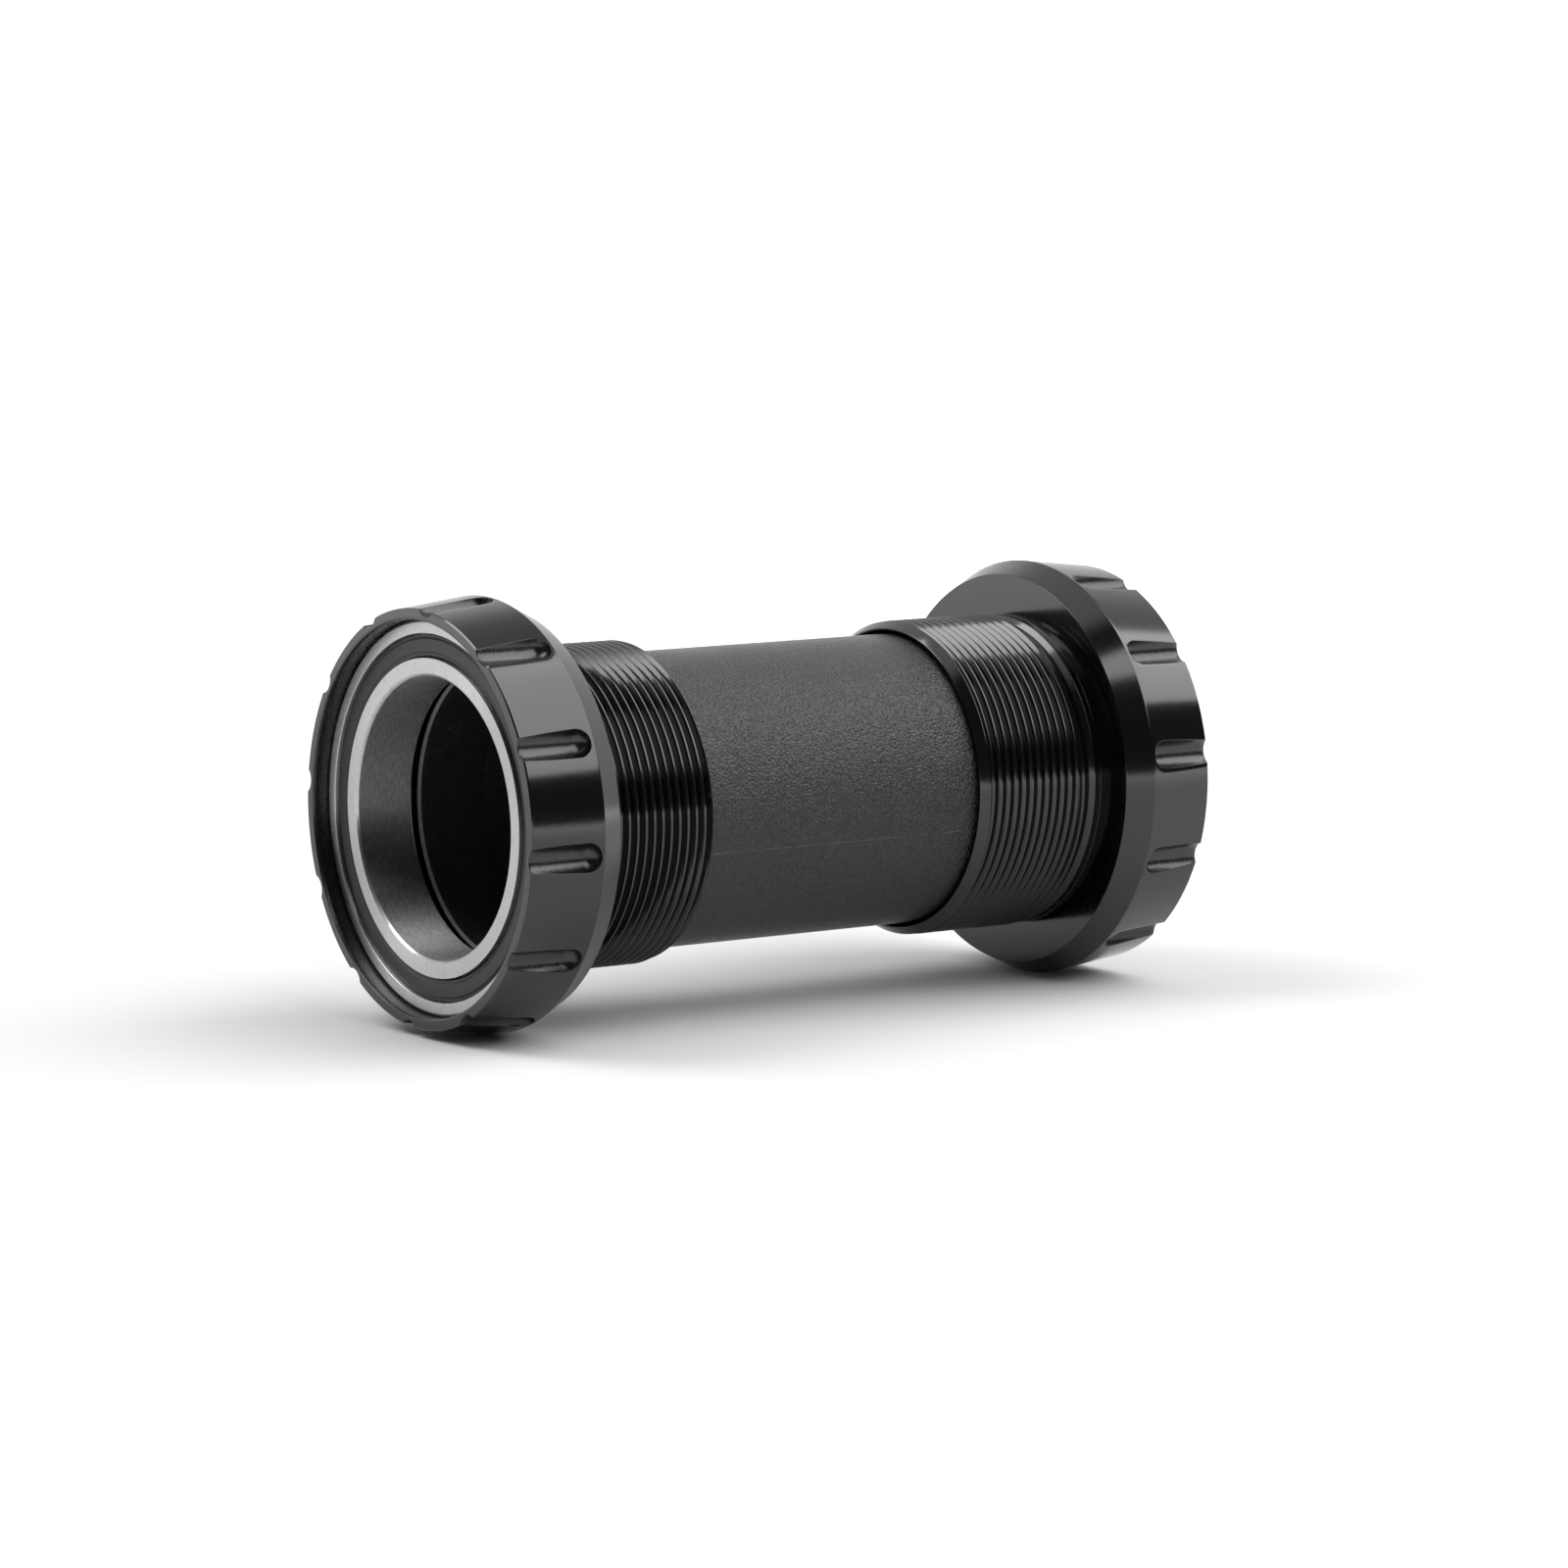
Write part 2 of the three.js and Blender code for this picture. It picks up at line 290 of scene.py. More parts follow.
def rounded(outline, softening, steps=4, closed=True):
    """The outline with each corner replaced by a short curve."""
    points = [Vector(point) for point in outline]
    count = len(points)
    inner = range(count) if closed else range(1, count - 1)
    result = [] if closed else [points[0]]
    for i in inner:
        corner = points[i]
        before = points[i - 1] - corner
        after = points[(i + 1) % count] - corner
        reach = min(softening, before.length * CORNER_SHARE, after.length * CORNER_SHARE)
        start = corner + before.normalized() * reach
        end = corner + after.normalized() * reach
        for step in range(steps + 1):
            share = step / steps
            result.append(start.lerp(corner, share).lerp(corner.lerp(end, share), share))
    if not closed:
        result.append(points[-1])
    return [(point.x, point.y) for point in result]


def turned_piece(name, outline, end=None):
    """A closed outline of (x, radius) points turned about the axis."""
    angles = np.arange(COLUMNS) * TURN / COLUMNS
    points = [ring(x, radius, angles) for x, radius in outline]
    faces = grid_faces(len(outline), COLUMNS, close_rows=True)
    return make_piece(name, placed(points, end), faces)


# ---------------------------------------------------------------- the cups


def flute_turns(end):
    """The angle of each flute's centre, in radians."""
    numbers = np.arange(FLUTE["count"])
    return math.radians(end["flute_turn"]) + numbers * TURN / FLUTE["count"]


def body_radius(x):
    """The flange's slightly tapered outside, with the small break at the rim."""
    rim_start = CUP["rim_x"] - CUP["rim_break"]
    places = (CUP["shoulder_x"], rim_start, CUP["rim_x"])
    radii = (CUP["shoulder_radius"], CUP["rim_radius"], CUP["rim_radius"] - CUP["rim_break"])
    return float(np.interp(x, places, radii))


def sector_angles(first_angles, edge):
    """Column angles of one sector: the flute's own, then the land up to the next flute."""
    pitch = TURN / FLUTE["count"]
    shares = np.arange(1, FLUTE["land_steps"]) / FLUTE["land_steps"]
    land = edge + (pitch - 2 * edge) * shares
    return np.concatenate([first_angles, land])


def plain_angles(end):
    """Column angles where the surface has no flutes. A flute's columns fall together."""
    flute_columns = np.zeros(2 * len(FLUTE["edge_curve"]) + FLUTE["arc_steps"] + 1)
    sector = sector_angles(flute_columns, 0.0)
    return (flute_turns(end)[:, None] + sector[None, :]).ravel()


def fluted_row(end, x, widening=0.0):
    """One row of points across all the flutes and lands at x."""
    surface = body_radius(x)
    centre = FLUTE["floor_radius"] + FLUTE["cutter_radius"]
    from_nose = min(0.0, x - FLUTE["inner_end_x"] - FLUTE["cutter_radius"])
    cutter = math.sqrt(FLUTE["cutter_radius"] ** 2 - from_nose**2) + widening
    edge_break = min(FLUTE["edge_break"], cutter / 3)
    low_edge = surface - edge_break
    first = math.asin(min(1.0, max(0.0, (centre - low_edge) / cutter)))
    half_width = cutter * math.cos(first)
    # One edge of the flute from the land to the wall, as (sideways, upward) points
    edge = []
    for out_share, down_share in FLUTE["edge_curve"]:
        across = half_width + edge_break * out_share
        edge.append((across, math.sqrt((surface - edge_break * down_share) ** 2 - across**2)))
    arc = np.linspace(first, math.pi - first, FLUTE["arc_steps"] + 1)
    floor = [(-cutter * math.cos(a), centre - cutter * math.sin(a)) for a in arc]
    other_edge = [(-across, upward) for across, upward in edge]
    outline = np.array(other_edge + floor + edge[::-1])
    angles = np.arctan2(outline[:, 0], outline[:, 1])
    radii = np.hypot(outline[:, 0], outline[:, 1])
    sector = sector_angles(angles, angles[-1])
    sector_radii = np.concatenate([radii, np.full(FLUTE["land_steps"] - 1, surface)])
    all_angles = (flute_turns(end)[:, None] + sector[None, :]).ravel()
    all_radii = np.tile(sector_radii, FLUTE["count"])
    return ring(x, all_radii, all_angles), all_angles


def thread_profile():
    """Places along one pitch, from a crest to the next, and how deep each lies."""
    crest, root = THREAD["crest_share"], THREAD["root_share"]
    outline = [(0, 0), (crest, 0), (root, 1), (1 - root, 1), (1 - crest, 0), (1, 0)]
    return np.array(rounded(outline, THREAD["softening"], closed=False)).T


def thread_span(end):
    """Where the thread starts beside the flange, and where it ends."""
    return -CUP["band_width"] - CUP["undercut_width"], end["nose"] - end["skirt"]


def thread_radius(end, x, angles):
    """The thread's radius at x and angles, with its run-out and the chamfer at its end."""
    start_x, end_x = thread_span(end)
    turns = (x - end["crest_x"]) / THREAD_PITCH - end["hand"] * angles / TURN
    number = np.floor(turns + THREAD["rounding"])
    shares, drops = thread_profile()
    drop = np.interp(turns - number, shares, drops)
    groove_turns = number + 0.5 + end["hand"] * angles / TURN
    groove_x = end["crest_x"] + groove_turns * THREAD_PITCH
    clear = start_x - THREAD["fade_margin"] - groove_x
    fade = np.clip(clear / (THREAD["fade_share"] * THREAD_PITCH), 0, 1)
    depth = CUP["crest_radius"] - CUP["root_radius"]
    radius = CUP["crest_radius"] - depth * drop * fade
    run_out = CUP["core_radius"] + THREAD["run_out_slope"] * (start_x - x)
    lead_in = CUP["crest_radius"] - CUP["thread_chamfer"] + (x - end_x)
    return np.minimum(radius, np.minimum(run_out, lead_in))


def thread_grid(end):
    """The threaded stretch as a grid whose rows follow the helix."""
    start_x, end_x = thread_span(end)
    angles = math.radians(end["flute_turn"]) + np.arange(COLUMNS + 1) * TURN / COLUMNS
    first = math.floor((end_x - end["crest_x"]) / THREAD_PITCH) - THREAD["spare_turns"]
    last = math.ceil((start_x - end["crest_x"]) / THREAD_PITCH) + THREAD["spare_turns"]
    rows = []
    for number in range(first, last):
        for share in thread_profile()[0][:-1]:
            turns = number + share + end["hand"] * angles / TURN
            x = np.clip(end["crest_x"] + turns * THREAD_PITCH, end_x, start_x)
            rows.append(ring(x, thread_radius(end, x, angles), angles))
    return rows


def outside_outline():
    """The flange's inner face and chamfer band, from the run-out groove to the shoulder."""
    outline = [
        (-CUP["band_width"] - CUP["undercut_row"], CUP["core_radius"]),
        (-CUP["band_width"], CUP["band_radius"]),
        (0, CUP["band_radius"]),
        (0, CUP["flange_inner_radius"]),
        (CUP["shoulder_x"], CUP["shoulder_radius"]),
        (FLUTE["inner_end_x"], body_radius(FLUTE["inner_end_x"])),
    ]
    return rounded(outline, CUP["outside_softening"], closed=False)


def bore_outline():
    """From the rim's inner edge to the pocket floor."""
    outline = [
        (CUP["rim_x"], CUP["seat_radius"] + CUP["rim_row"]),
        (CUP["rim_x"], CUP["seat_radius"] + CUP["seat_lead_in"]),
        (CUP["rim_x"] - CUP["seat_lead_in_length"], CUP["seat_radius"]),
        (CUP["seat_floor_x"], CUP["seat_radius"]),
        (CUP["seat_floor_x"], CUP["pocket_radius"]),
        (CUP["pocket_floor_x"], CUP["pocket_radius"]),
    ]
    return rounded(outline, CUP["bore_softening"], steps=3, closed=False)


def nose_outline(end):
    """From the pocket floor's inner edge through the bore to the end of the thread."""
    flare = CUP["nose_bore_radius"] - CUP["bore_radius"]
    outline = [
        (CUP["pocket_floor_x"], CUP["pocket_radius"] - CUP["pocket_floor_row"]),
        (CUP["pocket_floor_x"], CUP["bore_radius"]),
        (flare - end["skirt"], CUP["bore_radius"]),
        (-end["skirt"], CUP["nose_bore_radius"]),
    ]
    if end["nose"] > 0:
        outline += [
            (-end["skirt"], CUP["nose_tip_radius"]),
            (CUP["nose_cone_length"] - end["skirt"], CUP["nose_radius"]),
            (thread_span(end)[1], CUP["nose_radius"]),
        ]
    return rounded(outline, CUP["bore_softening"], steps=3, closed=False)


def cup(side):
    """One cup: thread, flange with its flutes, bearing seat and bore, as one closed skin."""
    end = ENDS[side]
    plain = plain_angles(end)
    start_x, end_x = thread_span(end)
    rows = [ring(start_x, CUP["core_radius"], plain)]
    rows += [ring(x, radius, plain) for x, radius in outside_outline()]
    nose_x = FLUTE["inner_end_x"] + FLUTE["cutter_radius"]
    for step in range(1, FLUTE["nose_steps"] + 1):
        lean = math.pi / 2 * step / FLUTE["nose_steps"]
        x = nose_x - FLUTE["cutter_radius"] * math.cos(lean)
        rows.append(fluted_row(end, x)[0])
    rim_start = CUP["rim_x"] - CUP["rim_break"]
    for x in np.linspace(nose_x, rim_start, FLUTE["wall_steps"] + 1)[1:]:
        rows.append(fluted_row(end, x)[0])
    rim_row, rim_angles = fluted_row(end, CUP["rim_x"], widening=CUP["rim_break"] / 2)
    rows.append(rim_row)
    rows += [ring(x, radius, rim_angles) for x, radius in bore_outline()]
    rows += [ring(x, radius, plain) for x, radius in nose_outline(end)]
    rows.append(ring(end_x, thread_radius(end, end_x, plain), plain))
    thread = thread_grid(end)
    points = np.concatenate([np.concatenate(rows), np.concatenate(thread)])
    faces = grid_faces(len(rows), len(plain))
    faces += grid_faces(len(thread), COLUMNS + 1, first=len(rows) * len(plain), close_columns=False)
    return make_piece(side + "_cup_body", placed(points, end), faces)


# ---------------------------------------------------------------- the bearings


def from_face(outline):
    """(distance from the bearing's outer face, radius) points, as (x, radius) points."""
    return [(BEARING_X - distance, radius) for distance, radius in outline]


def ball_groove(land_radius, side):
    """The ball groove's arc from one edge of a land to the other."""
    reach = math.acos(abs(land_radius - BEARING["pitch_radius"]) / BEARING["groove_radius"])
    arc = []
    for angle in np.linspace(reach, -reach, BEARING["groove_points"]):
        distance = BEARING["width"] / 2 + BEARING["groove_radius"] * math.sin(angle)
        radius = BEARING["pitch_radius"] + side * BEARING["groove_radius"] * math.cos(angle)
        arc.append((distance, radius))
    return arc


def both_faces(near):
    """Points from a ring's outer face and the same ones from its inner face."""
    return near + [(BEARING["width"] - distance, radius) for distance, radius in reversed(near)]


def inner_ring(side):
    corner = BEARING["corner"]
    bore = BEARING["bore_radius"]
    land = BEARING["inner_land_radius"]
    near = [
        (0, land),
        (0, bore + corner),
        (corner, bore),
        (BEARING["corner_row"], bore),
    ]
    near = rounded(near, BEARING["inner_softening"], closed=False)
    outline = both_faces(near) + ball_groove(land, -1)
    return turned_piece(side + "_bearing_inner_ring", from_face(outline), ENDS[side])


def outer_ring(side):
    corner = BEARING["corner"]
    outside = BEARING["outside_radius"]
    recess = BEARING["seal_recess_radius"]
    depth = BEARING["seal_recess_depth"]
    land = BEARING["outer_land_radius"]
    near = [
        (depth, land),
        (depth, recess),
        (0, recess),
        (0, outside - corner),
        (corner, outside),
        (BEARING["corner_row"], outside),
    ]
    near = rounded(near, BEARING["outer_softening"], closed=False)
    outline = both_faces(near) + ball_groove(land, 1)
    return turned_piece(side + "_bearing_outer_ring", from_face(outline), ENDS[side])


def seal(side, on_inner_side):
    """A rubber-covered disc: a flat rim, a raised middle and a thin lip at the inner ring."""
    outline = [
        (SEAL["rim_inset"], SEAL["rim_radius"]),
        (SEAL["rim_inset"], SEAL["rim_end_radius"]),
        (SEAL["raised_inset"], SEAL["raised_outer_radius"]),
        (SEAL["raised_inset"], SEAL["raised_inner_radius"]),
        (SEAL["lip_inset"], SEAL["lip_outer_radius"]),
        (SEAL["lip_inset"], SEAL["lip_inner_radius"]),
        (SEAL["tip_inset"], SEAL["tip_radius"]),
        (SEAL["back_inset"], SEAL["back_radius"]),
        (SEAL["back_inset"], SEAL["rim_radius"]),
    ]
    outline = rounded(outline, SEAL["softening"])
    if on_inner_side:
        outline = [(BEARING["width"] - distance, radius) for distance, radius in outline]
    name = side + ("_bearing_inner_seal" if on_inner_side else "_bearing_outer_seal")
    return turned_piece(name, from_face(outline), ENDS[side])


def ball_mesh():
    """A smooth ball about the origin, turned from a half circle, for every ball to share."""
    radius = BEARING["ball_radius"]
    steps = BEARING["ball_steps"]
    columns = 2 * steps
    angles = np.arange(columns) * TURN / columns
    leans = np.arange(steps + 1) * math.pi / steps
    points = [ring(radius * math.cos(lean), radius * math.sin(lean), angles) for lean in leans]
    return make_piece("ball_pattern", placed(points), grid_faces(steps + 1, columns))


def ball(side, index, mesh):
    """One ball in its place on the pitch circle."""
    piece = bpy.data.objects.new(f"{side}_bearing_ball_{index + 1:02d}", mesh)
    bpy.context.scene.collection.objects.link(piece)
    angle = TURN * index / BEARING["ball_count"]
    centre = ring(BALL_PLANE_X, BEARING["pitch_radius"], np.array([angle]))
    piece.location = placed(centre, ENDS[side])[0]
    return piece


def cage_front(angle):
    """How far out the cage reaches at an angle: pockets round the balls, prongs between."""
    step = TURN / BEARING["ball_count"]
    offset = (angle + step / 2) % step - step / 2
    across = abs(offset) * BEARING["pitch_radius"]
    pocket = BEARING["ball_radius"] + CAGE["ball_gap"]
    prong_tip = BEARING_X - CAGE["front_inset"]
    if across >= pocket:
        return prong_tip
    return min(prong_tip, BALL_PLANE_X - math.sqrt(pocket**2 - across**2))


def cage(side):
    """A crown cage, open towards the outer face."""
    columns = BEARING["ball_count"] * CAGE["columns_per_ball"]
    angles = np.arange(columns) * TURN / columns
    front = np.array([cage_front(angle) for angle in angles])
    back = BEARING_X - CAGE["back_inset"]
    inner = CAGE["inner_radius"]
    outer = CAGE["outer_radius"]
    corner = CAGE["corner"]
    rows = [
        ring(back, outer - corner, angles),
        ring(back + corner, outer, angles),
        ring(front - corner, outer, angles),
        ring(front, outer - corner, angles),
        ring(front, inner + corner, angles),
        ring(front - corner, inner, angles),
        ring(back + corner, inner, angles),
        ring(back, inner + corner, angles),
    ]
    faces = grid_faces(len(rows), columns, close_rows=True)
    return make_piece(side + "_bearing_cage", placed(np.concatenate(rows), ENDS[side]), faces)


# ---------------------------------------------------------------- the sleeve


def sleeve():
    """The tube between the cups, with a ring groove and a stepped bore at each end."""
    half = SLEEVE["half_length"]
    outer = SLEEVE["outer_radius"]
    chamfer = SLEEVE["end_chamfer"]
    groove_end = half - SLEEVE["groove_from_end"]
    groove_start = groove_end - SLEEVE["groove_width"]
    groove_floor = outer - SLEEVE["groove_depth"]
    end_bore_start = half - SLEEVE["end_bore_length"]
    near = [
        (0, outer),
        (groove_start, outer),
        (groove_start, groove_floor),
        (groove_end, groove_floor),
        (groove_end, outer),
        (half - chamfer, outer),
        (half, outer - chamfer),
        (half, SLEEVE["lip_radius"]),
        (half - SLEEVE["lip_chamfer"], SLEEVE["end_bore_radius"]),
        (end_bore_start, SLEEVE["end_bore_radius"]),
        (end_bore_start - SLEEVE["bore_step_length"], SLEEVE["bore_radius"]),
        (0, SLEEVE["bore_radius"]),
    ]
    near = rounded(near, SLEEVE["softening"], steps=3, closed=False)[1:-1]
    far = [(-x, radius) for x, radius in reversed(near)]
    return turned_piece("sleeve_tube", near + far)


def sleeve_ring(side):
    """A rubber ring in the sleeve's groove, squeezed a little flat by the cup's bore."""
    middle = SLEEVE["half_length"] - SLEEVE["groove_from_end"] - SLEEVE["groove_width"] / 2
    outline = []
    for step in range(SLEEVE["ring_steps"]):
        angle = TURN * step / SLEEVE["ring_steps"]
        x = middle + SLEEVE["ring_half_width"] * math.cos(angle)
        radius = SLEEVE["ring_centre_radius"] + SLEEVE["ring_half_height"] * math.sin(angle)
        outline.append((ENDS[side]["way"] * x, radius))
    return turned_piece(side + "_sleeve_ring", outline)


# ---------------------------------------------------------------- finishes


def grey(level, blue=0.0):
    """A neutral colour, with a little more blue if asked."""
    return (level, level, level + blue)


class Finish:
    """A node material with one Principled shader and short ways to add to it."""

    def __init__(self, name):
        self.material = bpy.data.materials.new(name)
        self.material.use_nodes = True
        self.tree = self.material.node_tree
        self.shader = self.tree.nodes["Principled BSDF"]
        self.coordinates = self.tree.nodes.new("ShaderNodeTexCoord").outputs["Object"]

    def node(self, kind, **settings):
        node = self.tree.nodes.new(kind)
        for key, value in settings.items():
            setattr(node, key, value)
        return node

    def link(self, output, target):
        self.tree.links.new(output, target)

    def maths(self, operation, first, second=None):
        """The output of one Math node on sockets or numbers."""
        node = self.node("ShaderNodeMath", operation=operation)
        for target, value in zip(node.inputs, (first, second)):
            if value is None:
                continue
            if isinstance(value, (int, float)):
                target.default_value = value
            else:
                self.link(value, target)
        return node.outputs[0]

    def noise(self, scale, detail=2.0, roughness=0.5, vector=None):
        node = self.node("ShaderNodeTexNoise")
        node.inputs["Scale"].default_value = scale
        node.inputs["Detail"].default_value = detail
        node.inputs["Roughness"].default_value = roughness
        self.link(vector or self.coordinates, node.inputs["Vector"])
        return node.outputs["Fac"]

    def spread(self, value, low, high, from_low=0.3, from_high=0.7):
        """Stretches a texture's value to run from low to high."""
        node = self.node("ShaderNodeMapRange")
        node.inputs["From Min"].default_value = from_low
        node.inputs["From Max"].default_value = from_high
        node.inputs["To Min"].default_value = low
        node.inputs["To Max"].default_value = high
        self.link(value, node.inputs["Value"])
        return node.outputs["Result"]

    def tint(self, share, dark, light):
        """A colour between dark and light."""
        node = self.node("ShaderNodeMix", data_type="RGBA")
        node.inputs["A"].default_value = (*dark, 1)
        node.inputs["B"].default_value = (*light, 1)
        self.link(share, node.inputs["Factor"])
        return node.outputs["Result"]

    def parts_and_out(self):
        """The place split into X, Y and Z, and its distance from the spindle axis."""
        parts = self.node("ShaderNodeSeparateXYZ")
        self.link(self.coordinates, parts.inputs[0])
        flat = self.node("ShaderNodeCombineXYZ")
        self.link(parts.outputs["Y"], flat.inputs["Y"])
        self.link(parts.outputs["Z"], flat.inputs["Z"])
        length = self.node("ShaderNodeVectorMath", operation="LENGTH")
        self.link(flat.outputs[0], length.inputs[0])
        return parts, length.outputs["Value"]

    def turning_marks(self, scale, smear=0.004):
        """Fine lines round the axis, on walls and faces alike. More smear makes them shorter."""
        parts, out = self.parts_and_out()
        across = self.node("ShaderNodeCombineXYZ")
        self.link(parts.outputs["X"], across.inputs["X"])
        self.link(out, across.inputs["Y"])
        angle = self.maths("ARCTAN2", parts.outputs["Y"], parts.outputs["Z"])
        self.link(self.maths("MULTIPLY", angle, smear), across.inputs["Z"])
        return self.noise(scale, detail=3.0, roughness=0.6, vector=across.outputs[0])

    def specks(self, spacing, size, rarity):
        """A mask of small round spots. Only cells whose own random value is high have one."""
        cells = self.node("ShaderNodeTexVoronoi")
        cells.inputs["Scale"].default_value = 1 / spacing
        self.link(self.coordinates, cells.inputs["Vector"])
        near = self.maths("LESS_THAN", cells.outputs["Distance"], size)
        picked = self.node("ShaderNodeSeparateColor")
        self.link(cells.outputs["Color"], picked.inputs[0])
        rare = self.maths("GREATER_THAN", picked.outputs[0], rarity)
        return self.maths("MULTIPLY", near, rare)

    def between(self, value, low, high):
        """A mask that is 1 where a value lies between two others."""
        above = self.maths("GREATER_THAN", value, low)
        below = self.maths("LESS_THAN", value, high)
        return self.maths("MULTIPLY", above, below)

    def overlaid(self, base, mask, level):
        """The base colour with a grey of one level over it where the mask is."""
        node = self.node("ShaderNodeMix", data_type="RGBA")
        node.inputs["B"].default_value = (*grey(level), 1)
        self.link(base, node.inputs["A"])
        self.link(mask, node.inputs["Factor"])
        return node.outputs["Result"]

    def bump(self, height, strength, distance):
        """Bump from a height, on top of any bump that the shader has already."""
        node = self.node("ShaderNodeBump")
        node.inputs["Strength"].default_value = strength
        node.inputs["Distance"].default_value = distance
        self.link(height, node.inputs["Height"])
        previous = self.shader.inputs["Normal"].links
        if previous:
            self.link(previous[0].from_socket, node.inputs["Normal"])
        self.link(node.outputs["Normal"], self.shader.inputs["Normal"])

    def set(self, socket, value):
        """A value that is the same all over, on one of the shader's own sockets."""
        self.shader.inputs[socket].default_value = value

    def drive(self, socket, output):
        """A value that varies over the surface, for one of the shader's own sockets."""
        self.link(output, self.shader.inputs[socket])

    def added(self, value, mask, amount):
        """A value, raised by an amount where the mask is."""
        return self.maths("ADD", value, self.maths("MULTIPLY", mask, amount))


def flute_mask(finish):
    """1 inside the cups' flutes, where the surface lies below the flange's taper."""
    parts, out = finish.parts_and_out()
    from_middle = finish.maths("ABSOLUTE", parts.outputs["X"])
    along = finish.maths("SUBTRACT", from_middle, FLANGE_X * METRES)
    run = CUP["rim_x"] - CUP["shoulder_x"]
    taper = (CUP["shoulder_radius"] - CUP["rim_radius"]) / run
    start = (CUP["shoulder_radius"] + taper * CUP["shoulder_x"]) * METRES
    surface = finish.maths("SUBTRACT", start, finish.maths("MULTIPLY", along, taper))
    depth = finish.maths("SUBTRACT", surface, out)
    band_end = (CUP["rim_x"] - FLUTE["mask_end"]) * METRES
    on_band = finish.between(along, FLUTE["inner_end_x"] * METRES, band_end)
    deepest = CUP["shoulder_radius"] - FLUTE["floor_radius"] + FLUTE["mask_spare"]
    sunk = finish.between(depth, FLUTE["mask_start"] * METRES, deepest * METRES)
    return finish.maths("MULTIPLY", on_band, sunk)


def anodised_finish():
    """Black anodised aluminium: glossy, with milled flutes and dust."""
    finish = Finish("black_anodised")
    finish.set("IOR", 1.62)
    marks = finish.turning_marks(scale=9000)
    milled = finish.turning_marks(scale=3600)
    flutes = flute_mask(finish)
    cloud = finish.noise(160, detail=3.0)
    dust = finish.specks(spacing=0.0024, size=0.028, rarity=0.92)
    base = finish.tint(cloud, grey(0.0012, 0.0001), grey(0.003, 0.0002))
    finish.drive("Base Color", finish.overlaid(base, dust, 0.25))
    roughness = finish.spread(marks, 0.1, 0.15)
    roughness = finish.added(roughness, dust, 0.3)
    roughness = finish.added(roughness, flutes, 0.15)
    finish.drive("Roughness", roughness)
    finish.bump(marks, strength=0.02, distance=0.00002)
    finish.bump(finish.maths("MULTIPLY", milled, flutes), strength=0.5, distance=0.00006)
    return finish.material


def steel_finish():
    """Ground bearing steel: bright faces, and a rougher bore painted darker as shade inside it, with
    fine lines round the axis.
    """
    finish = Finish("ground_steel")
    finish.set("Metallic", 1.0)
    finish.set("Anisotropic", 0.92)
    finish.set("Anisotropic Rotation", 0.25)
    around = finish.node("ShaderNodeTangent", direction_type="RADIAL", axis="X")
    finish.drive("Tangent", around.outputs[0])
    out = finish.parts_and_out()[1]
    bore_end = (BEARING["bore_radius"] + BEARING["bore_mask_spare"]) * METRES
    bore = finish.maths("LESS_THAN", out, bore_end)
    marks = finish.turning_marks(scale=14000, smear=0.0015)
    streaks = finish.turning_marks(scale=5200, smear=0.003)
    blotches = finish.noise(1500, detail=4.0, roughness=0.65)
    stains = finish.spread(blotches, 0, 0.35, from_low=0.55, from_high=0.75)
    base = finish.tint(marks, grey(0.42, 0.005), grey(0.57, 0.005))
    base = finish.overlaid(base, stains, 0.18)
    # Painted shade: the bore's colour is darkened towards grey 0.1, unevenly along grinding streaks
    bore_shade_and_streaks = finish.maths("MULTIPLY", bore, finish.spread(streaks, 0.35, 0.8))
    finish.drive("Base Color", finish.overlaid(base, bore_shade_and_streaks, 0.1))
    roughness = finish.spread(marks, 0.27, 0.35)
    finish.drive("Roughness", finish.added(roughness, bore, 0.25))
    finish.bump(marks, strength=0.15, distance=0.00002)
    return finish.material


def seal_finish():
    """Dark grey moulded rubber with a soft shine and a little dust."""
    finish = Finish("seal_rubber_finish")
    finish.set("IOR", 1.5)
    grain = finish.noise(5000)
    dust = finish.specks(spacing=0.0014, size=0.035, rarity=0.86)
    base = finish.tint(grain, grey(0.011, 0.0005), grey(0.02, 0.0005))
    finish.drive("Base Color", finish.overlaid(base, dust, 0.16))
    finish.drive("Roughness", finish.spread(grain, 0.42, 0.55))
    finish.bump(grain, strength=0.15, distance=0.00003)
    return finish.material


def sleeve_masks(finish):
    """Where the sleeve's bore, the painted highlight on its end lips and its mould's broken parting
    line are.
    """
    parts, out = finish.parts_and_out()
    bore_end = (SLEEVE["lip_radius"] + SLEEVE["bore_mask_spare"]) * METRES
    bore = finish.maths("LESS_THAN", out, bore_end)
    along = finish.maths("ABSOLUTE", parts.outputs["X"])
    # Mask of the painted highlight on the inner edge of each end
    lip_start = (SLEEVE["half_length"] - SLEEVE["lip_highlight_length"]) * METRES
    lip = finish.maths("MULTIPLY", finish.maths("GREATER_THAN", along, lip_start), bore)
    forward = finish.maths("MULTIPLY", parts.outputs["Y"], -1.0)
    angle = finish.maths("ARCTAN2", forward, parts.outputs["Z"])
    line = math.radians(SLEEVE["seam_angle"])
    half_width = SLEEVE["seam_half_width"] / SLEEVE["outer_radius"]
    seam = finish.between(angle, line - half_width, line + half_width)
    gaps = finish.spread(finish.noise(400), 0, 1, from_low=0.4, from_high=0.7)
    return bore, lip, finish.maths("MULTIPLY", seam, gaps)


